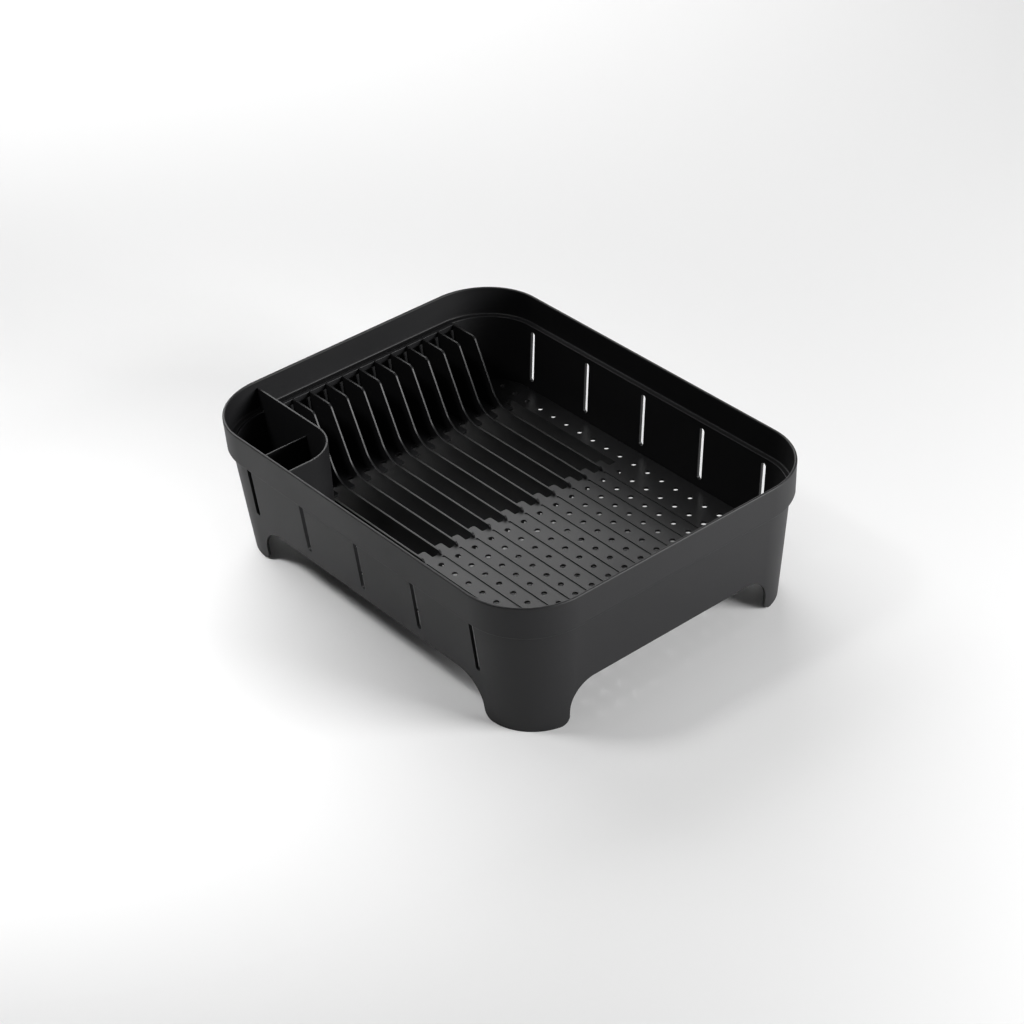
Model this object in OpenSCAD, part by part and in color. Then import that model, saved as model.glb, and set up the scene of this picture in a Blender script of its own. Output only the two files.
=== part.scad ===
// Dish drying rack: an open-bottomed tub on four corner feet, a drainer insert with plate ribs
// and a perforated floor, and a lift-out cutlery caddy.
// Millimetres, +Z up, origin at the bottom centre. +X is the perforated end, -Y the front wall.

/* [Tub] */
// Overall length of the rim along X
tub_length = 478; // [380:1:580]
// Overall width of the rim along Y
tub_width = 366; // [290:1:440]
// Height of the rim above the worktop
tub_height = 147; // [115:1:180]
// Plan radius of the rim at the four corners
corner_radius = 68; // [45:1:90]
// Height of the upper band, rim to shoulder
band_height = 33; // [20:1:45]
// How far the wall leans in from rim to foot
wall_taper = 16.7; // [8:0.1:24]
// Wall thickness of the lower wall
wall_thickness = 2.6; // [2:0.1:4]

/* [Feet and slots] */
// Height of the raised bottom edge between the feet
arch_height = 43; // [40:1:52]
// Distance from the end of the rim to the opening under a long wall
foot_long = 75; // [70:1:110]
// Distance from the side of the rim to the opening under an end wall
foot_end = 64; // [61:1:95]
// Fillet radius where an opening meets a foot
arch_radius = 27; // [12:1:28]
// Rounding of the lower corners of a foot
foot_round = 9; // [3:0.5:9]
// Width of a wall slot
wall_slot_width = 6; // [4:0.1:12]
// Height of a wall slot
wall_slot_height = 56; // [30:1:58]

/* [Drainer insert] */
// Height of the top face of the perforated floor
floor_top = 47; // [46:0.5:56]
// Thickness of the perforated floor
floor_thickness = 2.2; // [2:0.1:3]
// Pitch of the plate ribs and of the square hole grid
pitch = 20; // [16:0.5:24]
// Diameter of a drain hole
hole_diameter = 5.6; // [4:0.1:8]
// Thickness of a plate rib
rib_thickness = 2.4; // [1.8:0.1:3.2]
// Height of the low run of a rib above the floor
rib_low_height = 4; // [2:0.5:8]
// Distance from the end of the rim to the left ends of the gaps between the ribs
window_reach = 89; // [80:1:110]
// X of the right ends of the ribs, where the perforated floor starts
rib_right = -3; // [-30:1:20]
// Depth of the ribs below the floor top
rib_depth = 19; // [8:1:20]
// Width of the grooves that carry on the rib lines
groove_width = 2.6; // [1.5:0.1:4]
// Depth of those grooves
groove_depth = 0.9; // [0.4:0.1:1.2]

/* [Cutlery caddy] */
// Reach of the caddy along X, measured from the end of the rim
caddy_length = 143; // [120:1:159]
// Space between the first rib and the caddy, centre to face
caddy_space = 11; // [8:1:20]
// How far the caddy rim lies below the tub rim
caddy_drop = 7; // [1:1:20]
// Plan radius of the caddy corner
caddy_radius = 41; // [12:1:50]
// Wall thickness of the caddy
caddy_wall = 2; // [1.5:0.1:3]
// Distance of the divider from the end of the rim
divider_reach = 80; // [70:1:100]
// How far the divider lies below the tub rim
divider_drop = 26; // [18:1:29]

/* [Hidden] */
$fn = 72;
gap = 0.5;
half_l = tub_length / 2;
half_w = tub_width / 2;
rc = corner_radius;
rib_count = 12;
shoulder = tub_height - band_height;
ledge_z = shoulder + 3;
foot_in = wall_taper;
top_in = 6;
ledge_in = 8.8;
band_in = 3.4;
floor_under = floor_top - floor_thickness;
floor_in = inner_inset(floor_top) + gap;
room_l = half_l - floor_in;
room_w = half_w - floor_in;
rib_first = -pitch * rib_count / 2 + pitch;
rib_last = rib_first + pitch * (rib_count - 1);
rib_head = ledge_z + 1;
rail_end = rib_last + rib_thickness / 2;
rail_left = corner_pull(rib_last) - (half_l - inner_inset(shoulder - 2) - gap);
rail_right = rail_left + 4;
low_z = floor_top + rib_low_height;
slope_dir = [0.4214, -0.9069];
slot_left = window_reach - half_l;
slot_right = rib_right - 1.8;
window_right = rib_right - 14.5;
tab_reach = 11.7;
rib1_left = slot_left - 10;
slot_pitch = (half_l - rc - 6) / 2;
grid_n = ceil(half_l / pitch);
caddy_right = caddy_length - half_l;
caddy_side = rib_first - caddy_space;
caddy_top = tub_height - caddy_drop;
caddy_mid = (caddy_side - half_w) / 2 + 6;
caddy_slot = 0.36 * (half_w + caddy_side);
divider_x = divider_reach - half_l;
divider_top = tub_height - divider_drop;
caddy_base = floor_top + 0.3;
base_thick = 2.5;
shell_top = ledge_z - 0.5;
black = [0.07, 0.07, 0.075];

// inset of the inner face of the lower wall at height z
function inner_inset(z) =
  foot_in + wall_thickness - (foot_in + wall_thickness - ledge_in) * z / ledge_z;

// how far the corner arc of the floor pulls an end wall inwards beside a rib at height y
function corner_pull(y) =
  let (r = rc - floor_in, d = max(0, y + rib_thickness / 2 - half_w + rc))
  r - sqrt(r * r - d * d);

// y of rib number i, counted from the caddy side
function rib_y(i) = rib_first + pitch * (i - 1);

// points along an arc
function arc(c, r, a0, a1, n) =
  [for (k = [0:n]) c + r * [cos(a0 + (a1 - a0) * k / n), sin(a0 + (a1 - a0) * k / n)]];

// a rounded rectangle given by its half sizes and corner radius
function pillow(hx, hy, r) = concat(
  arc([hx - r, hy - r], r, 0, 90, 18),
  arc([r - hx, hy - r], r, 90, 180, 18),
  arc([r - hx, r - hy], r, 180, 270, 18),
  arc([hx - r, r - hy], r, 270, 360, 18));

// true where a drain hole keeps its distance from the edge of the floor
function inside(x, y, m) =
  let (hx = room_l - m, hy = room_w - m, r = rc - floor_in - m)
  let (dx = max(0, abs(x) - hx + r), dy = max(0, abs(y) - hy + r))
  norm([dx, dy]) <= r;

// true where the floor really is a grid of holes
function gridded(x, y) =
  inside(x, y, 6) && (x > rib_right + 6 || y > rib_last + pitch + 6
  || (y < rib_first - 6 && x > caddy_right + pitch));

// sweep a wall profile (x = inset from the rim line, y = height) round the tub
module sweep_wall(pts) {
  shifted = [for (p = pts) [rc - p[0], p[1]]];
  for (s = [[1, 1, 0], [-1, 1, 90], [-1, -1, 180], [1, -1, 270]])
    translate([s[0] * (half_l - rc), s[1] * (half_w - rc), 0])
      rotate([0, 0, s[2]])
        rotate_extrude(angle = 90)
          polygon(shifted);
  for (s = [0, 180])
    rotate([0, 0, s]) {
      translate([half_l - rc, half_w - rc, 0])
        rotate([90, 0, 0])
          linear_extrude(2 * (half_w - rc))
            polygon(shifted);
      translate([rc - half_l, half_w - rc, 0])
        rotate([90, 0, 90])
          linear_extrude(2 * (half_l - rc))
            polygon(shifted);
    }
}

// side view of the opening between two feet
module arch_2d(half, r) {
  polygon(concat(
    [[-half - foot_round, -5], [half + foot_round, -5]],
    arc([half + foot_round, foot_round], foot_round, 270, 180, 8),
    arc([half - r, arch_height - r], r, 0, 90, 12),
    arc([r - half, arch_height - r], r, 90, 180, 12),
    arc([-half - foot_round, foot_round], foot_round, 360, 270, 8)));
}

module outer_tub() {
  lip_z = floor_under - 0.3;
  lip_in = floor_in + 6;
  color(black)
    difference() {
      sweep_wall([
        [foot_in, 0],
        [top_in, shoulder - 2.5],
        [5, shoulder - 1.2],
        [3, shoulder - 0.4],
        [1.2, shoulder],
        [0, tub_height - 1],
        [0.5, tub_height - 0.2],
        [1.2, tub_height],
        [1.8, tub_height],
        [2.5, tub_height - 0.2],
        [2.9, tub_height - 1],
        [band_in, ledge_z + 0.8],
        [band_in + 0.8, ledge_z],
        [ledge_in - 0.6, ledge_z],
        [ledge_in, ledge_z - 0.6],
        [inner_inset(lip_z + 0.01), lip_z],
        [lip_in, lip_z],
        [lip_in, lip_z - 2],
        [inner_inset(lip_z - 6), lip_z - 6],
        [foot_in + wall_thickness, 0]
      ]);
      translate([0, half_w + 10, 0])
        rotate([90, 0, 0])
          linear_extrude(tub_width + 20)
            arch_2d(half_l - foot_long, arch_radius + 3);
      translate([-half_l - 10, 0, 0])
        rotate([90, 0, 90])
          linear_extrude(tub_length + 20)
            arch_2d(half_w - foot_end, arch_radius);
      for (k = [-2:2])
        translate([k * slot_pitch, 0, shoulder - 3])
          rotate([90, 0, 0])
            linear_extrude(tub_width + 20, center = true)
              polygon(slot_pts(wall_slot_width, wall_slot_height));
    }
}

// an upright slot hanging down from y = 0, both ends rounded
function slot_pts(w, h) = concat(
  arc([0, -w / 2], w / 2, 0, 180, 12),
  arc([0, w / 2 - h], w / 2, 180, 360, 12));

// plan of the gap between rib i and the next one, narrowed by a tab at both ends
module gap_2d(i) {
  lo = rib_y(i) + rib_thickness / 2;
  hi = rib_y(i) + pitch - (i < rib_count ? rib_thickness / 2 : 0);
  mid = rib_y(i) + tab_reach;
  polygon(concat(
    [[window_right, lo], [window_right, mid - 2]],
    arc([window_right + 2, mid - 2], 2, 180, 90, 4),
    [[slot_right, mid]],
    arc([slot_right - 2.5, hi - 2.5], 2.5, 0, 90, 5),
    arc([slot_left - 12.5, hi - 2.5], 2.5, 90, 180, 5),
    [[slot_left - 15, mid]],
    arc([slot_left - 2, mid - 2], 2, 90, 0, 4),
    [[slot_left, lo]]));
}

module drainer_floor() {
  color(black) {
    translate([slot_left - 15, rib_last + pitch, floor_top - rib_depth])
      cube([rib_right - slot_left + 15, rib_thickness, rib_depth - floor_thickness / 2]);
    difference() {
      translate([0, 0, floor_under])
        linear_extrude(floor_thickness)
          difference() {
            polygon(pillow(room_l, room_w, rc - floor_in));
            for (i = [1:rib_count])
              gap_2d(i);
            for (i = [1:rib_count])
              translate([rib_floor_left(i), rib_y(i) - rib_thickness / 2])
                square([rib_right - rib_floor_left(i), rib_thickness]);
            for (kx = [-grid_n:grid_n], ky = [-grid_n:grid_n])
              if (gridded((kx + 0.5) * pitch, (ky + 0.5) * pitch))
                translate([(kx + 0.5) * pitch, (ky + 0.5) * pitch])
                  circle(d = hole_diameter);
          }
      for (i = [1:rib_count])
        translate([rib_right + 3, rib_y(i) - groove_width / 2, floor_top - groove_depth])
          cube([groove_end(i) - rib_right - 3, groove_width, 5]);
    }
  }
}

// left end of the slit a rib needs in the floor
function rib_floor_left(i) = i == 1 ? rib1_left : corner_pull(rib_y(i)) - room_l + 8;

// right end of the groove on rib line i
function groove_end(i) = room_l - (abs(rib_y(i)) > room_w - rc + floor_in ? 24 : 10);

// side view of a rib: flat head on the rail, a slope, a low run above the floor
module rib_2d(i) {
  under = floor_top - rib_depth;
  s = (rib_head - low_z) / -slope_dir[1];
  knee = [slot_left - 10.5, low_z];
  head = knee - slope_dir * s;
  turn = 65.08;
  t1 = 16.5;
  r1 = t1 / tan(turn / 2);
  t2 = 4;
  r2 = t2 / tan(turn / 2);
  foot = [[rib_right - 4, low_z], [rib_right, floor_top], [rib_right, under]];
  edge = corner_pull(rib_y(i)) - room_l;
  if (i == 1)
    polygon(concat(
      [[slot_left - 10, under], [slot_left - 15, floor_under], [rib1_left, floor_under],
       [rib1_left, floor_top], [rib1_left + 4, low_z]],
      foot));
  else
    polygon(concat(
      [[edge + 20, under], [edge + 8, floor_under], [edge + 8, floor_top + 0.3],
       [edge + 2, floor_top + 3], [rail_right, shoulder - 2], [rail_right, rib_head]],
      arc([head[0] - t2, rib_head - r2], r2, 90, 90 - turn, 6),
      arc([knee[0] + t1, low_z + r1], r1, 270 - turn, 270, 10),
      foot));
}

module plate_rib(i) {
  color(black)
    translate([0, rib_y(i) + rib_thickness / 2, 0])
      rotate([90, 0, 0])
        linear_extrude(rib_thickness)
          rib_2d(i);
}

module drainer_end_rail() {
  color(black)
    translate([rail_left, caddy_side + 3, shoulder - 2])
      cube([rail_right - rail_left, rail_end - caddy_side - 3, rib_head - shoulder + 2]);
}

// plan of the caddy, drawn past the tub wall; o is the distance inside its outer face
function caddy_plan(o) = concat(
  [[-half_l - 20, -half_w - 20], [-half_l - 20, caddy_side - o]],
  arc([caddy_right - caddy_radius, caddy_side - caddy_radius], caddy_radius - o, 90, 0, 12),
  [[caddy_right - o, -half_w - 20]]);

// sweep a profile (radius from the corner centre, height) round the front left corner;
// points at radius 0 reach inwards along the straights, which makes a solid block
module corner_sweep(pts) {
  straight = [for (p = pts) [p[0] == 0 ? -55 : p[0], p[1]]];
  translate([rc - half_l, rc - half_w, 0])
    rotate([0, 0, 180])
      rotate_extrude(angle = 90)
        polygon(pts);
  translate([rc - half_l, rc - half_w, 0])
    rotate([90, 0, 180])
      linear_extrude(55)
        polygon(straight);
  translate([caddy_right + 20, rc - half_w, 0])
    rotate([90, 0, -90])
      linear_extrude(half_l - rc + caddy_right + 20)
        polygon(straight);
}

// radius of the caddy's outer face at height z, seen from the corner centre
function caddy_r(z) = rc - inner_inset(z) - gap;

module cutlery_caddy() {
  mid = caddy_wall / 2;
  base_top = caddy_base + base_thick;
  color(black) {
    intersection() {
      corner_sweep([
        [caddy_r(caddy_base) - caddy_wall, caddy_base],
        [caddy_r(caddy_base), caddy_base],
        [caddy_r(shell_top), shell_top],
        [caddy_r(shell_top) - caddy_wall, shell_top]
      ]);
      translate([0, 0, caddy_base - 1])
        linear_extrude(tub_height)
          polygon(caddy_plan(0));
    }
    intersection() {
      corner_sweep([
        [0, caddy_base],
        [caddy_r(caddy_base) - mid, caddy_base],
        [caddy_r(shell_top) - mid, shell_top],
        [caddy_r(shell_top) - mid, ledge_z + 0.3],
        [rc - band_in - 0.8 - gap, ledge_z + 0.3],
        [rc - band_in - gap, caddy_top],
        [0, caddy_top]
      ]);
      translate([0, 0, caddy_base - 1])
        linear_extrude(tub_height)
          difference() {
            polygon(caddy_plan(0));
            polygon(caddy_plan(caddy_wall));
          }
    }
    intersection() {
      corner_sweep([
        [0, caddy_base],
        [caddy_r(caddy_base) - mid, caddy_base],
        [caddy_r(base_top) - mid, base_top],
        [0, base_top]
      ]);
      translate([0, 0, caddy_base - 1])
        linear_extrude(base_thick + 2)
          difference() {
            polygon(caddy_plan(mid));
            for (k = [0:2], s = [-12, 14])
              translate([divider_x + s * (k + 1), caddy_mid])
                square([5, caddy_slot], center = true);
          }
    }
  }
}

// y of the caddy's inner face where the divider meets it, on the straight or in the corner
function divider_front(z) =
  let (r = caddy_r(z) - caddy_wall, d = max(0, rc - half_l - divider_x + 1))
  rc - half_w - sqrt(r * r - d * d);

module caddy_divider() {
  base_top = caddy_base + base_thick;
  inner = caddy_side - caddy_wall;
  color(black)
    translate([divider_x - 1, 0, 0])
      rotate([90, 0, 90])
        linear_extrude(2)
          polygon([
            [inner, base_top],
            [divider_front(base_top), base_top],
            [divider_front(shell_top), shell_top],
            [divider_front(shell_top), ledge_z + 0.3],
            [band_in + 0.8 + gap - half_w, ledge_z + 0.3],
            [band_in + 0.8 + gap - half_w, divider_top],
            [inner, divider_top]
          ]);
}

outer_tub();
drainer_floor();
drainer_end_rail();
plate_rib(1);  // plate_rib_01
plate_rib(2);  // plate_rib_02
plate_rib(3);  // plate_rib_03
plate_rib(4);  // plate_rib_04
plate_rib(5);  // plate_rib_05
plate_rib(6);  // plate_rib_06
plate_rib(7);  // plate_rib_07
plate_rib(8);  // plate_rib_08
plate_rib(9);  // plate_rib_09
plate_rib(10);  // plate_rib_10
plate_rib(11);  // plate_rib_11
plate_rib(12);  // plate_rib_12
cutlery_caddy();
caddy_divider();
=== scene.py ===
# %% [markdown]
# # A black plastic dish drying rack
#
# The rack is an open-bottomed tub on four corner feet. A drainer insert drops into it: a floor
# with drain holes at one end, and plate ribs at the other that climb to a rail beside the end
# wall. A cutlery caddy with a divider stands on the insert in one corner.
#
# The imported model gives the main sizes. It is loaded first, and every piece is placed from it.

import math

import bmesh
import bpy
from mathutils import Matrix, Vector
from mathutils.geometry import delaunay_2d_cdt


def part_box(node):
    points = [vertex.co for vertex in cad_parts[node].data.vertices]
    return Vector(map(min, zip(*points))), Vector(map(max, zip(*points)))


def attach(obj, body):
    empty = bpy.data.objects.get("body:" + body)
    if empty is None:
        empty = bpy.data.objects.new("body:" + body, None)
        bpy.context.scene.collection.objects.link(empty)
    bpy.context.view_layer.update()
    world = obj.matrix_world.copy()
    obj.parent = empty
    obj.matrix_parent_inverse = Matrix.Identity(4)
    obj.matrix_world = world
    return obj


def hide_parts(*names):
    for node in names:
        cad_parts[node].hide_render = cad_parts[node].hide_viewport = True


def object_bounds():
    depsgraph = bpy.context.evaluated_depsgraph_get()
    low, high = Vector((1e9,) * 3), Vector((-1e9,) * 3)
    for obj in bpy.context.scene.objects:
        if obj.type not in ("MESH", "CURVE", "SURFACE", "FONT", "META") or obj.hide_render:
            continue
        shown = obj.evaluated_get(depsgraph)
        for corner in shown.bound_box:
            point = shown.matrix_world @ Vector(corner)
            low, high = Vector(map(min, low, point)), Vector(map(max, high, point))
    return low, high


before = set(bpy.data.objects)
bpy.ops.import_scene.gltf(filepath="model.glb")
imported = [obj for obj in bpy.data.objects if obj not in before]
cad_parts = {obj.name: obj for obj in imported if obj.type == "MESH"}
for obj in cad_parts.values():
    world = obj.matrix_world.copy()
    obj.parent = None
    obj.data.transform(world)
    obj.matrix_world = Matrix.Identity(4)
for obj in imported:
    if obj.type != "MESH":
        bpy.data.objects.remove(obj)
cad_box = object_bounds()
MM = 0.001
print("size in mm:", [round((hi - lo) / MM, 1) for lo, hi in zip(*cad_box)])

# %% [markdown]
# ## Sizes read from the model
#
# Every piece below starts from the boxes of the model's nodes. A box can't tell how thick a wall
# is or how far it leans, so such sizes are named in millimetres, here or beside their piece.
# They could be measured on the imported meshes, but a named size is easier to read and to change.

# %% Read the driving sizes
half_length, half_width, rim_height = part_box("outer_tub")[1]
floor_low, floor_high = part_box("drainer_floor")
rail_low, rail_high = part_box("drainer_end_rail")
caddy_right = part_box("cutlery_caddy")[1].x
RIB_NAMES = sorted(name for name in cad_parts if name.startswith("plate_rib"))
rib_boxes = [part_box(name) for name in RIB_NAMES]

corner_radius = 68 * MM
band_height = 33 * MM
wall_lean = 16.7 * MM
wall_thickness = 2.6 * MM
floor_thickness = 2.2 * MM
arch_height = 43 * MM

shoulder_height = rim_height - band_height
ledge_height = shoulder_height + 3 * MM
floor_top = floor_high.z
floor_under = floor_top - floor_thickness
skirt_bottom = floor_low.z
floor_radius = corner_radius - (half_length - floor_high.x)
rib_pitch = rib_boxes[1][0].y - rib_boxes[0][0].y
rib_lines = [(low.y + high.y) / 2 for low, high in rib_boxes]
rib_right = rib_boxes[-1][1].x
rib_bottom = rib_boxes[-1][0].z
rib_half = (rib_boxes[-1][1].y - rib_boxes[-1][0].y) / 2
print("rib pitch in mm:", round(rib_pitch / MM, 2), "ribs:", len(rib_lines))

# %% [markdown]
# ## Helpers for outlines
#
# Moulded plastic is straight runs joined by arcs, so one function gives points along an arc and
# another a rectangle with rounded corners. Most outlines below are drawn with these two.


# %% Arc and rounded rectangle
def arc(centre_x, centre_y, radius, start, end, steps):
    """Points along an arc, angles in degrees."""
    points = []
    for step in range(steps + 1):
        angle = math.radians(start + (end - start) * step / steps)
        points.append((centre_x + radius * math.cos(angle), centre_y + radius * math.sin(angle)))
    return points


def rounded_rectangle(low_x, low_y, high_x, high_y, radius, steps):
    """Outline of a rectangle with four rounded corners, anticlockwise."""
    return (
        arc(high_x - radius, high_y - radius, radius, 0, 90, steps)
        + arc(low_x + radius, high_y - radius, radius, 90, 180, steps)
        + arc(low_x + radius, low_y + radius, radius, 180, 270, steps)
        + arc(high_x - radius, low_y + radius, radius, 270, 360, steps)
    )


print("arc check:", [round(value, 3) for value in arc(0, 0, 1, 0, 90, 2)[1]])

# %% [markdown]
# ## Helpers for meshes
#
# A bmesh is Blender's editable mesh in memory. Each builder below fills one and hands it to
# `finished`, which makes the object, rounds every hard edge with a Bevel modifier and evens out
# the shading with Weighted Normal. The small bevels matter: on black plastic they are what catches
# the light. A subdivision surface could round edges too, but it would also soften flat walls.


# %% Turn a bmesh into a finished piece
def finished(name, bm, rounding=0.4 * MM, segments=2, angle=32):
    """Object from a bmesh, with every edge sharper than the angle rounded."""
    bmesh.ops.remove_doubles(bm, verts=bm.verts, dist=1e-6)
    bmesh.ops.recalc_face_normals(bm, faces=bm.faces)
    mesh = bpy.data.meshes.new(name)
    bm.to_mesh(mesh)
    bm.free()
    mesh.shade_smooth()
    piece = bpy.data.objects.new(name, mesh)
    bpy.context.scene.collection.objects.link(piece)
    if rounding:
        bevel = piece.modifiers.new("rounded edges", "BEVEL")
        bevel.width = rounding
        bevel.segments = segments
        bevel.limit_method = "ANGLE"
        bevel.angle_limit = math.radians(angle)
        bevel.use_clamp_overlap = True
    weighted = piece.modifiers.new("even shading", "WEIGHTED_NORMAL")
    weighted.keep_sharp = False
    weighted.weight = 80
    return piece


def baked(piece):
    """Apply all modifiers of a piece to its mesh."""
    graph = bpy.context.evaluated_depsgraph_get()
    graph.update()
    mesh = bpy.data.meshes.new_from_object(piece.evaluated_get(graph))
    piece.modifiers.clear()
    piece.data = mesh
    return piece


# %% [markdown]
# A prism is an outline pushed along an axis. It serves for cutters, for ribs, for the end rail and
# for the studio floor. One small function for each axis says which way the outline is pushed.


# %% Prism from an outline
def prism(bm, outline, start, end, place):
    """Add a closed prism; place turns (u, v, w) into a point of the model."""
    near = [bm.verts.new(place(u, v, start)) for u, v in outline]
    far = [bm.verts.new(place(u, v, end)) for u, v in outline]
    count = len(outline)
    for i in range(count):
        j = (i + 1) % count
        bm.faces.new((near[i], near[j], far[j], far[i]))
    bm.faces.new(reversed(near))
    bm.faces.new(far)


def along_x(u, v, w):
    """Outline in y and z, pushed along x."""
    return (w, u, v)


def along_y(u, v, w):
    """Outline in x and z, pushed along y."""
    return (u, w, v)


def along_z(u, v, w):
    """Outline in x and y, pushed along z."""
    return (u, v, w)


print("prism places a point at:", along_y(1, 2, 3))

# %% [markdown]
# ## The tub wall
#
# The real wall is one moulded skin: a nearly upright band under the rim, a soft shoulder, and a
# lower wall that leans in towards the feet. It could be carved from a block, but a sweep is
# closer to how it looks: one profile of wall thickness is carried round a rounded rectangle.
# Each profile point is an inset from the rim line and a height.


# %% Profile of the wall
foot_inset = wall_lean + wall_thickness
ledge_inset = 8.8 * MM
rim_radius = 1.45 * MM
lip_gap = 0.3 * MM
lip_reach = 6 * MM
lip_top = floor_under - lip_gap
lip_inset = half_length - floor_high.x + lip_reach


def lower_inset(z):
    """Inset of the wall's inner face at a height, below the ledge."""
    return foot_inset + (ledge_inset - foot_inset) * z / ledge_height


def outer_profile():
    """Outside of the wall: the leaning wall, the soft shoulder, the band and the round rim."""
    return (
        [(wall_lean, 0), (wall_lean - 4.3 * MM, arch_height), (6 * MM, shoulder_height - 3.2 * MM)]
        + arc(4.2 * MM, shoulder_height - 3.4 * MM, 2.2 * MM, 0, 62, 4)
        + arc(2.8 * MM, shoulder_height + 0.8 * MM, 1.6 * MM, 242, 180, 4)
        + [(0.3 * MM, rim_height - 8 * MM)]
        + arc(rim_radius, rim_height - rim_radius, rim_radius, 180, 0, 10)
    )


def inner_profile():
    """Inside of the wall: the band, the ledge, and the lip that the drainer lies on."""
    return (
        [(3.3 * MM, ledge_height + 3 * MM)]
        + arc(4.8 * MM, ledge_height + 1.4 * MM, 1.4 * MM, 180, 270, 3)
        + arc(ledge_inset - 0.9 * MM, ledge_height - 0.9 * MM, 0.9 * MM, 90, 0, 3)
        + [(lower_inset(lip_top + 0.6 * MM), lip_top + 0.6 * MM)]
        + [(lower_inset(lip_top) + 0.5 * MM, lip_top), (lip_inset, lip_top)]
        + [(lip_inset, lip_top - 2 * MM), (lower_inset(lip_top - 6 * MM), lip_top - 6 * MM)]
        + [(foot_inset, 0)]
    )


profile = outer_profile() + inner_profile()
print("wall profile points:", len(profile))

# %% [markdown]
# The sweep places one ring of points for each small turn of the four corners and joins each ring
# to the next. The long straight walls need no points of their own: one wide face spans them.


# %% Sweep the profile round the tub
def sweep_wall(bm, points, steps=28):
    """Carry a profile of (inset, height) round the four corners of the tub."""
    rings = []
    for sign_x, sign_y, start in ((1, 1, 0), (-1, 1, 90), (-1, -1, 180), (1, -1, 270)):
        centre = Vector((sign_x * (half_length - corner_radius), sign_y * (half_width - corner_radius)))
        for step in range(steps + 1):
            angle = math.radians(start + 90 * step / steps)
            out = Vector((math.cos(angle), math.sin(angle)))
            ring = []
            for inset, z in points:
                spot = centre + out * (corner_radius - inset)
                ring.append(bm.verts.new((spot.x, spot.y, z)))
            rings.append(ring)
    for i, ring in enumerate(rings):
        after = rings[(i + 1) % len(rings)]
        for k in range(len(points)):
            m = (k + 1) % len(points)
            bm.faces.new((ring[k], after[k], after[m], ring[m]))


wall = bmesh.new()
sweep_wall(wall, profile)
tub = finished("tub_shell", wall, rounding=0)
tub.modifiers.clear()
print("tub faces before cutting:", len(tub.data.polygons))

# %% [markdown]
# ## Feet and drain slots
#
# The feet are what is left of the wall once a wide opening is cut under each side. Each long wall
# also has five upright drain slots. Cutters that run right across the tub cut both sides at once,
# and a Boolean modifier takes them away: first those through the long walls, then the end walls.


# %% Cut the openings
def arch_outline(half_span, height, radius):
    """Opening between two feet, with a round fillet at each and round lower corners."""
    below = 5 * MM
    toe = 9 * MM
    return (
        [(-half_span - toe, -below), (half_span + toe, -below)]
        + arc(half_span + toe, toe, toe, 270, 180, 10)
        + arc(half_span - radius, height - radius, radius, 0, 90, 16)
        + arc(radius - half_span, height - radius, radius, 90, 180, 16)
        + arc(-half_span - toe, toe, toe, 360, 270, 10)
    )


def slot_outline(centre, top, width, height):
    """Upright slot with round ends."""
    radius = width / 2
    upper = arc(centre, top - radius, radius, 0, 180, 12)
    lower = arc(centre, top - height + radius, radius, 180, 360, 12)
    return upper + lower


slot_pitch = 82.5 * MM
slot_top = shoulder_height - 3 * MM
slot_width = 6 * MM
slot_height = 56 * MM
long_half_span, long_fillet = 164 * MM, 30 * MM
end_half_span, end_fillet = 119 * MM, 27 * MM
long_cutter = bmesh.new()
reach = half_width + 10 * MM
long_arch = arch_outline(long_half_span, arch_height, long_fillet)
prism(long_cutter, long_arch, -reach, reach, along_y)
for column in range(-2, 3):
    outline = slot_outline(column * slot_pitch, slot_top, slot_width, slot_height)
    prism(long_cutter, outline, -reach, reach, along_y)
end_cutter = bmesh.new()
reach = half_length + 10 * MM
end_arch = arch_outline(end_half_span, arch_height, end_fillet)
prism(end_cutter, end_arch, -reach, reach, along_x)
for cutter_mesh in (long_cutter, end_cutter):
    cutter = finished("cutter", cutter_mesh, rounding=0)
    cutter.modifiers.clear()
    cut = tub.modifiers.new("openings", "BOOLEAN")
    cut.operation = "DIFFERENCE"
    cut.solver = "EXACT"
    cut.use_self = False
    cut.object = cutter
    baked(tub)
    bpy.data.objects.remove(cutter)
print("tub faces after cutting:", len(tub.data.polygons))

# %% [markdown]
# A moulding has no knife edges, so the cut edges are rounded now. A bevel of every edge would also
# take the profile's own curves. Those turn by less than the angle limit at each step, so a bevel
# limited by angle leaves them alone and takes the edges that the cutters made and the lip's corners.


# %% Round the cut edges
def rounded(piece, width, segments=2, angle=40):
    """Bevel the hard edges of a piece that was cut, then even out its shading."""
    bm = bmesh.new()
    bm.from_mesh(piece.data)
    bmesh.ops.remove_doubles(bm, verts=bm.verts, dist=2e-6)
    bmesh.ops.dissolve_limit(bm, angle_limit=math.radians(0.3), verts=bm.verts, edges=bm.edges)
    bm.to_mesh(piece.data)
    bm.free()
    piece.data.shade_smooth()
    bevel = piece.modifiers.new("rounded edges", "BEVEL")
    bevel.width = width
    bevel.segments = segments
    bevel.limit_method = "ANGLE"
    bevel.angle_limit = math.radians(angle)
    weighted = piece.modifiers.new("even shading", "WEIGHTED_NORMAL")
    weighted.weight = 80
    return piece


rounded(tub, 0.5 * MM)

# %% [markdown]
# ## The drainer floor
#
# The floor is a flat plate with rows of drain holes, shallow grooves that carry on the rib
# lines, and a window of long gaps where plates stand. Cutting so many holes one by one is slow
# and leaves poor faces. Instead the whole plan is triangulated at once from its outlines, each
# triangle is kept or dropped by where its middle lies, and what is kept is given thickness.

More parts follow.
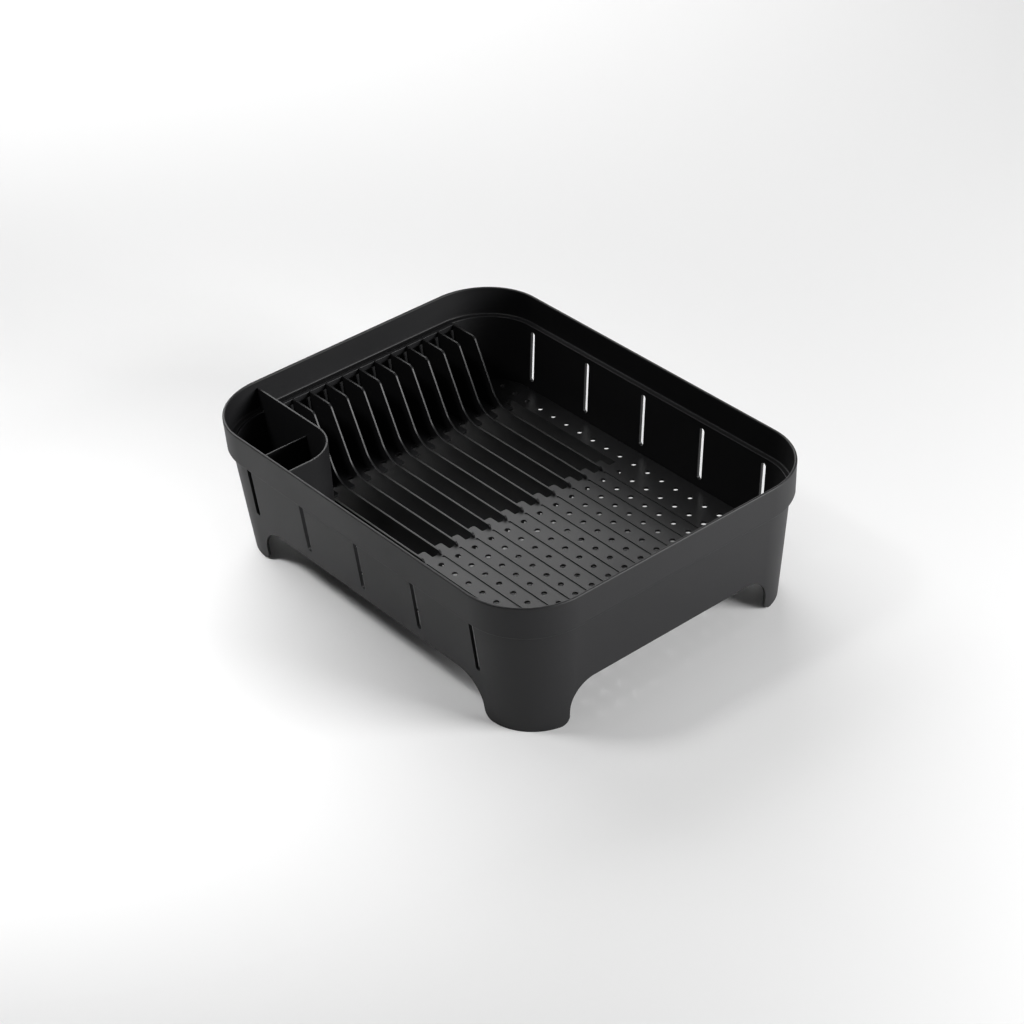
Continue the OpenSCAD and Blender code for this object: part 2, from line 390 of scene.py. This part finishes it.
# %% Sizes of the floor
hole_radius = 2.8 * MM
groove_half = 1.3 * MM
groove_depth = 0.9 * MM
window_step = 15 * MM
window_left = rib_boxes[0][0].x
slot_left = window_left + window_step
slot_right = rib_right - 1.8 * MM
window_right = rib_right - 14.5 * MM
tab_reach = 11.7 * MM
first_rib_left = slot_left - 10 * MM
long_rib_left = -(floor_high.x - 8 * MM)
print("gaps between ribs reach from x", round(window_left / MM, 1), "to", round(slot_right / MM, 1))

# %% [markdown]
# Plates stand in long gaps between the ribs. Each gap is narrowed at both ends by a square tab,
# which ties a rib to its neighbour on the real moulding and gives the window its toothed edge.


# %% Outline of a gap
def gap_outline(index):
    """Gap on the far side of one rib, narrowed by a tab at both ends."""
    low = rib_lines[index] + rib_half
    last = index == len(rib_lines) - 1
    high = rib_lines[index] + rib_pitch - (0 if last else rib_half)
    tab = rib_lines[index] + tab_reach
    soft = 2.0 * MM
    end = 2.5 * MM
    return (
        [(window_right, low), (window_right, tab - soft)]
        + arc(window_right + soft, tab - soft, soft, 180, 90, 4)
        + arc(slot_right - 1.2 * MM, tab + 1.2 * MM, 1.2 * MM, 270, 360, 3)
        + arc(slot_right - end, high - end, end, 0, 90, 5)
        + arc(window_left + end, high - end, end, 90, 180, 5)
        + arc(window_left + 1.2 * MM, tab + 1.2 * MM, 1.2 * MM, 180, 270, 3)
        + arc(slot_left - soft, tab - soft, soft, 90, 0, 4)
        + [(slot_left, low)]
    )


# %% [markdown]
# The drain holes lie on one square grid with the ribs. The grid covers the open end, the strip
# behind the last rib and the strip in front of the first, and stops short of the floor's edge.


# %% Where the drain holes are
def inside_floor(x, y, margin):
    """Whether a point keeps its distance from the edge of the floor."""
    radius = floor_radius - margin
    dx = max(0, abs(x) - (floor_high.x - margin) + radius)
    dy = max(0, abs(y) - (floor_high.y - margin) + radius)
    return math.hypot(dx, dy) <= radius


def has_hole(x, y):
    """Whether the square grid has a hole here."""
    margin = 6 * MM
    if not inside_floor(x, y, margin):
        return False
    right_part = x > rib_right + margin
    back_strip = y > rib_lines[-1] + rib_pitch + margin
    front_strip = y < rib_lines[0] - margin and x > caddy_right + rib_pitch
    return right_part or back_strip or front_strip


def hole_centres():
    """Middles of all drain holes."""
    spots = []
    for column in range(-12, 12):
        for row in range(-10, 10):
            spot = ((column + 0.5) * rib_pitch, (row + 0.5) * rib_pitch)
            if has_hole(*spot):
                spots.append(spot)
    return spots


holes = hole_centres()
print("drain holes:", len(holes))

# %% [markdown]
# The triangles of the plan need a rule that says how high the floor is at any spot: open, at the
# bottom of a groove, or at the top. The rule asks which outlines the spot lies in.


# %% Tests for a spot of the plan
def in_polygon(x, y, outline):
    """Even-odd test."""
    hit = False
    j = len(outline) - 1
    for i in range(len(outline)):
        (ax, ay), (bx, by) = outline[i], outline[j]
        if (ay > y) != (by > y) and x < (bx - ax) * (y - ay) / (by - ay) + ax:
            hit = not hit
        j = i
    return hit


def slit_outline(index):
    """The narrow slit that one rib fills."""
    left = first_rib_left if index == 0 else long_rib_left
    low = rib_lines[index] - rib_half
    high = rib_lines[index] + rib_half
    return [(left, low), (rib_right, low), (rib_right, high), (left, high)]


def groove_outline(index):
    """The groove that carries on one rib line."""
    y = rib_lines[index]
    beside_corner = abs(y) > floor_high.y - floor_radius
    right = floor_high.x - (24 * MM if beside_corner else 10 * MM)
    left = rib_right + 3 * MM
    return rounded_rectangle(left, y - groove_half, right, y + groove_half, groove_half * 0.98, 4)


gaps = [gap_outline(index) for index in range(len(rib_lines))]
slits = [slit_outline(index) for index in range(len(rib_lines))]
grooves = [groove_outline(index) for index in range(len(rib_lines))]
hole_set = {(round(x / rib_pitch - 0.5), round(y / rib_pitch - 0.5)) for x, y in holes}


def level(x, y):
    """Height of the floor's top face at a spot, or None where it is open."""
    if not inside_floor(x, y, 0):
        return None
    cell = (math.floor(x / rib_pitch), math.floor(y / rib_pitch))
    if cell in hole_set:
        centre = ((cell[0] + 0.5) * rib_pitch, (cell[1] + 0.5) * rib_pitch)
        if math.hypot(x - centre[0], y - centre[1]) < hole_radius:
            return None
    nearest = min(range(len(rib_lines)), key=lambda index: abs(rib_lines[index] - y))
    for index in (nearest, nearest - 1):
        if index >= 0 and (in_polygon(x, y, gaps[index]) or in_polygon(x, y, slits[index])):
            return None
    if in_polygon(x, y, grooves[nearest]):
        return floor_top - groove_depth
    return floor_top


print("level over a groove in mm:", round(level(0.05, rib_lines[5]) / MM, 2))

# %% [markdown]
# A triangulation that respects outlines is called a constrained one, and Blender has it built in.
# Each kept triangle gets a top and a bottom face. Where a triangle borders a lower one or an open
# one, a side face is added, so the result is closed.


# %% Triangulate the plan and give it thickness
def plate_from_plan(bm, outlines, level_at, bottom):
    """Closed plate from outlines; level_at gives the top at a spot, or None where it is open."""
    points = []
    edges = []
    for outline in outlines:
        first = len(points)
        points += [Vector(point) for point in outline]
        count = len(outline)
        edges += [(first + i, first + (i + 1) % count) for i in range(count)]
    spots, _, faces, *_ = delaunay_2d_cdt(points, edges, [], 0, 1e-7)
    tops = {}
    for face in faces:
        x = sum(spots[i].x for i in face) / 3
        y = sum(spots[i].y for i in face) / 3
        z = level_at(x, y)
        if z is not None:
            tops[tuple(face)] = z
    made = {}

    def vertex(i, z):
        key = (i, round(z, 7))
        if key not in made:
            made[key] = bm.verts.new((spots[i].x, spots[i].y, z))
        return made[key]

    sides = {}
    for face, z in tops.items():
        a, b, c = face
        bm.faces.new((vertex(a, z), vertex(b, z), vertex(c, z)))
        bm.faces.new((vertex(c, bottom), vertex(b, bottom), vertex(a, bottom)))
        for i, j in ((a, b), (b, c), (c, a)):
            sides[(i, j)] = z
    for (i, j), z in sides.items():
        other = sides.get((j, i), bottom)
        if other < z:
            bm.faces.new((vertex(i, z), vertex(i, other), vertex(j, other), vertex(j, z)))


plan = [rounded_rectangle(floor_low.x, floor_low.y, floor_high.x, floor_high.y, floor_radius, 24)]
plan += gaps + slits + grooves
hole_steps = 20
plan += [arc(x, y, hole_radius, 0, 360 - 360 / hole_steps, hole_steps - 1) for x, y in holes]
plate = bmesh.new()
plate_from_plan(plate, plan, level, floor_under)
skirt_low = rib_lines[-1] + rib_pitch
skirt_high = skirt_low + 2 * rib_half
skirt = [(window_left, skirt_low), (rib_right, skirt_low)]
skirt += [(rib_right, skirt_high), (window_left, skirt_high)]
prism(plate, skirt, skirt_bottom, floor_under + 0.2 * MM, along_z)
drainer_floor = finished("floor_plate", plate, rounding=0.3 * MM)
print("floor faces:", len(drainer_floor.data.polygons))

# %% [markdown]
# ## Plate ribs and end rail
#
# A rib is a thin fin. Its top edge starts level on the rail, turns down a steep slope that leans a
# plate back, and ends in a low run a few millimetres above the floor. Below the floor it carries
# on as a stiffener. The first rib is short: the caddy takes the space of its head. A fin could be
# a curve with a depth, but a prism of its side view keeps its faces flat and its ends true.

# %% Side view of a rib
rib_head = rib_boxes[-1][1].z
rib_low = floor_top + 4 * MM
slope_up, slope_along = 0.9069, 0.4214
turn = math.degrees(math.atan2(slope_up, slope_along))
knee = slot_left - 10.5 * MM
slope_run = (rib_head - rib_low) / math.tan(math.radians(turn))
shoulder_reach = 4 * MM
knee_reach = 16.5 * MM
tip_radius = 3.2 * MM
print("rib slope in degrees:", round(turn, 1))


def rib_outline(index):
    """Outline of one rib in x and z."""
    tail = arc(rib_right - tip_radius, rib_low - tip_radius, tip_radius, 90, 15, 4)
    tail += [(rib_right, floor_top), (rib_right, rib_bottom)]
    if index == 0:
        return (
            [(first_rib_left, rib_bottom), (window_left, floor_under)]
            + [(first_rib_left, floor_under), (first_rib_left, floor_top)]
            + [(first_rib_left + 4 * MM, rib_low)]
            + tail
        )
    head_x = knee - slope_run
    shoulder_radius = shoulder_reach / math.tan(math.radians(turn / 2))
    knee_radius = knee_reach / math.tan(math.radians(turn / 2))
    return (
        [(-(floor_high.x - 20 * MM), rib_bottom), (long_rib_left, floor_under)]
        + [(long_rib_left, floor_top + 0.3 * MM), (-(floor_high.x - 2 * MM), floor_top + 3 * MM)]
        + [(rail_high.x, rail_low.z)]
        + [(rail_high.x, rib_head)]
        + arc(head_x - shoulder_reach, rib_head - shoulder_radius, shoulder_radius, 90, 90 - turn, 10)
        + arc(knee + knee_reach, rib_low + knee_radius, knee_radius, 270 - turn, 270, 16)
        + tail
    )


ribs = []
for index, name in enumerate(RIB_NAMES):
    fin = bmesh.new()
    low, high = rib_boxes[index]
    prism(fin, rib_outline(index), low.y, high.y, along_y)
    ribs.append(finished("rib_" + name[-2:], fin, rounding=0.5 * MM, segments=3))
print("ribs made:", len(ribs))

# %% [markdown]
# The end rail ties the heads of the long ribs together. It is a plain bar with rounded ends.

# %% End rail
bar = bmesh.new()
rail_plan = rounded_rectangle(rail_low.x, rail_low.y, rail_high.x, rail_high.y, 1.2 * MM, 4)
prism(bar, rail_plan, rail_low.z, rail_high.z, along_z)
end_rail = finished("rail_bar", bar, rounding=0.6 * MM, segments=3)
print("rail length in mm:", round((rail_high.y - rail_low.y) / MM, 1))

# %% [markdown]
# ## Cutlery caddy
#
# The caddy is a box that shares the tub's rounded corner: low walls follow the tub, and two tall
# walls with a rounded corner between them face the plates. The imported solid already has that
# shape, so a copy of its mesh is cleaned of needless edges and its hard edges are rounded.


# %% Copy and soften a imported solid
def softened(name, node, width):
    """A copy of a node's mesh with clean faces and rounded edges."""
    bm = bmesh.new()
    bm.from_mesh(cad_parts[node].data)
    bmesh.ops.remove_doubles(bm, verts=bm.verts, dist=1e-6)
    bmesh.ops.dissolve_limit(bm, angle_limit=math.radians(1), verts=bm.verts, edges=bm.edges)
    return finished(name, bm, rounding=width, segments=3)


caddy = softened("caddy_box", "cutlery_caddy", 0.5 * MM)
divider = softened("divider_plate", "caddy_divider", 0.5 * MM)
print("caddy faces:", len(caddy.data.polygons))

# %% [markdown]
# ## Join each piece to its body
#
# The tub stands still, the drainer lifts out of it, and the caddy lifts off the drainer. Each piece
# rides the body that moves it and stands for its solid in the imported model.

# %% Bodies
pieces = [(tub, "tub", "outer_tub"), (drainer_floor, "drainer", "drainer_floor")]
pieces += [(end_rail, "drainer", "drainer_end_rail")]
pieces += [(rib, "drainer", name) for rib, name in zip(ribs, RIB_NAMES)]
pieces += [(caddy, "caddy", "cutlery_caddy"), (divider, "caddy", "caddy_divider")]
for piece, body, node in pieces:
    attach(piece, body)
    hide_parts(node)
print("pieces placed:", len(pieces))

# %% [markdown]
# ## Black moulded plastic
#
# The finish is injection-moulded polypropylene: nearly black, satin, with the fine grain of an
# etched mould. Grain could be an image, but noise in object space needs no unwrapping and has no
# seams. A small class lets the shader maths be written as plain expressions.


# %% A socket that can be used in expressions
class Wire:
    """An output socket of a node tree, with arithmetic that adds Math nodes."""

    def __init__(self, tree, socket=None):
        self.tree = tree
        self.socket = socket

    def node(self, kind, settings, inputs, output=0):
        """Add a node: settings first, then the values or links of its sockets."""
        made = self.tree.nodes.new(kind)
        for key, value in settings.items():
            setattr(made, key, value)
        for key, value in inputs.items():
            if isinstance(value, Wire):
                self.tree.links.new(value.socket, made.inputs[key])
            else:
                made.inputs[key].default_value = value
        return Wire(self.tree, made.outputs[output])

    def math(self, operation, first, second):
        """A Math node on two values or links."""
        return self.node("ShaderNodeMath", {"operation": operation}, {0: first, 1: second})

    def __add__(self, other):
        return self.math("ADD", self, other)

    def __sub__(self, other):
        return self.math("SUBTRACT", self, other)

    def __rsub__(self, other):
        return self.math("SUBTRACT", other, self)

    def __mul__(self, other):
        return self.math("MULTIPLY", self, other)

    __radd__ = __add__
    __rmul__ = __mul__


# %% [markdown]
# Two noises make the plastic. The fine one is the grain of the mould: it tilts the surface a little
# through a Bump node and scatters the gloss. The slow one shifts tone and gloss over centimetres, as
# plastic does where it cooled unevenly. The drainer's grain is coarser and a little glossier.


# %% The plastic
def black_plastic(name, colour, roughness, grain_scale, grain_height):
    """Satin black plastic with mould grain and slow changes of tone and gloss."""
    material = bpy.data.materials.new(name)
    material.use_nodes = True
    tree = material.node_tree
    surface = tree.nodes["Principled BSDF"]
    start = Wire(tree)
    place = start.node("ShaderNodeTexCoord", {}, {}, "Object")
    grain = start.node("ShaderNodeTexNoise", {}, {"Vector": place, "Scale": grain_scale, "Detail": 3.0})
    cloud = start.node("ShaderNodeTexNoise", {}, {"Vector": place, "Scale": 14.0, "Detail": 2.0})
    darker = tuple(part * 0.85 for part in colour) + (1,)
    lighter = tuple(part * 1.15 for part in colour) + (1,)
    tone = start.node("ShaderNodeMix", {"data_type": "RGBA"}, {0: cloud, 6: darker, 7: lighter}, 2)
    gloss = roughness + (cloud - 0.5) * 0.10 + (grain - 0.5) * 0.06
    bump = start.node(
        "ShaderNodeBump", {}, {"Strength": 1.0, "Distance": grain_height, "Height": grain}
    )
    tree.links.new(tone.socket, surface.inputs["Base Color"])
    tree.links.new(gloss.socket, surface.inputs["Roughness"])
    tree.links.new(bump.socket, surface.inputs["Normal"])
    surface.inputs["IOR"].default_value = 1.49
    return material


plastics = {
    "tub": black_plastic("tub plastic", (0.015, 0.015, 0.016), 0.52, 1100, 0.03 * MM),
    "drainer": black_plastic("insert plastic", (0.016, 0.016, 0.017), 0.46, 900, 0.05 * MM),
    "caddy": black_plastic("caddy plastic", (0.015, 0.015, 0.016), 0.52, 1100, 0.03 * MM),
}
for piece, body, _ in pieces:
    piece.data.materials.clear()
    piece.data.materials.append(plastics[body])
print("finishes:", [material.name for material in plastics.values()])

# %% [markdown]
# ## Studio floor
#
# The rack stands on a wide pale sheet. Its brightness matters twice: it is the background, and the
# outer walls show mostly its reflection.

# %% Floor
ground = bmesh.new()
side = 6.0
sheet = [(-side, -side), (side, -side), (side, side), (-side, side)]
prism(ground, sheet, -0.02, -0.0002, along_z)
studio_floor = finished("studio_floor", ground, rounding=0)
floor_material = bpy.data.materials.new("studio floor paint")
floor_material.use_nodes = True
paint = floor_material.node_tree.nodes["Principled BSDF"]
paint.inputs["Base Color"].default_value = (0.8, 0.8, 0.8, 1)
paint.inputs["Roughness"].default_value = 0.9
studio_floor.data.materials.append(floor_material)
print("studio floor in m:", 2 * side)

# %% [markdown]
# ## Light
#
# Black plastic shows light by reflection more than by its own colour, so the light has to come
# from the side that the surfaces mirror. Even light from all round would turn the inside grey.
# A broad softbox on the left and behind is mirrored by the perforated floor, one low on the right
# reaches the inside of the band, and a small one brightens only the floor in front. The world
# itself gives very little.

# %% World and softboxes
world = bpy.data.worlds.new("studio air")
world.use_nodes = True
world.node_tree.nodes["Background"].inputs["Color"].default_value = (1, 1, 1, 1)
world.node_tree.nodes["Background"].inputs["Strength"].default_value = 0.08
bpy.context.scene.world = world


def softbox(name, place, aim, width, height, power):
    """An area light at a place, turned to a point."""
    light = bpy.data.lights.new(name, "AREA")
    light.shape = "RECTANGLE"
    light.size = width
    light.size_y = height
    light.energy = power
    lamp = bpy.data.objects.new(name, light)
    bpy.context.scene.collection.objects.link(lamp)
    lamp.location = place
    lamp.rotation_euler = (Vector(aim) - Vector(place)).to_track_quat("-Z", "Y").to_euler()
    return lamp


middle = (Vector(cad_box[0]) + Vector(cad_box[1])) / 2
softbox("overhead softbox", (0, 0.2, 2.2), middle, 1.6, 1.2, 2.5)
softbox("left softbox", (-2.0, 0.65, 1.4), middle, 2.8, 1.6, 48)
softbox("right softbox", (1.85, 0.9, 0.75), middle, 1.1, 0.8, 52)
front_light = softbox("front floor light", (-0.5, -0.85, 1.5), (-0.22, -0.42, 0), 0.35, 0.35, 1.6)
front_light.data.spread = math.radians(50)
print("lights:", len(bpy.data.lights))

# %% [markdown]
# Blender's default view squeezes bright tones, which turns a white floor grey. The Standard view
# keeps white white, and a contrasty look deepens the blacks between the ribs.

# %% View of the tones
bpy.context.scene.view_settings.view_transform = "Standard"
bpy.context.scene.view_settings.look = "Medium High Contrast"
print("look:", bpy.context.scene.view_settings.look)

# %% [markdown]
# ## Camera
#
# The camera looks down at about 35 degrees from the front right. A long lens from two and a half
# metres away keeps the long edges nearly parallel. Its three axes are worked out from two angles
# and a slight roll, and together they are the camera's rotation.

# %% Camera
azimuth, elevation, roll = (math.radians(value) for value in (52.069, 34.674, -3.529))
level_back = math.cos(elevation)
back = Vector((math.sin(azimuth) * level_back, -math.cos(azimuth) * level_back, math.sin(elevation)))
right = Vector((math.cos(azimuth), math.sin(azimuth), 0))
up = back.cross(right)
camera_right = right * math.cos(roll) + up * math.sin(roll)
camera_up = up * math.cos(roll) - right * math.sin(roll)
turned = Matrix((camera_right, camera_up, back)).transposed().to_4x4()
camera_data = bpy.data.cameras.new("studio camera")
camera_data.sensor_width = 36
camera_data.lens = 92.147
camera = bpy.data.objects.new("studio camera", camera_data)
bpy.context.scene.collection.objects.link(camera)
camera.matrix_world = Matrix.Translation((1.60589, -1.24704, 1.46395)) @ turned
bpy.context.scene.camera = camera
print("lens in mm:", round(camera_data.lens, 2))
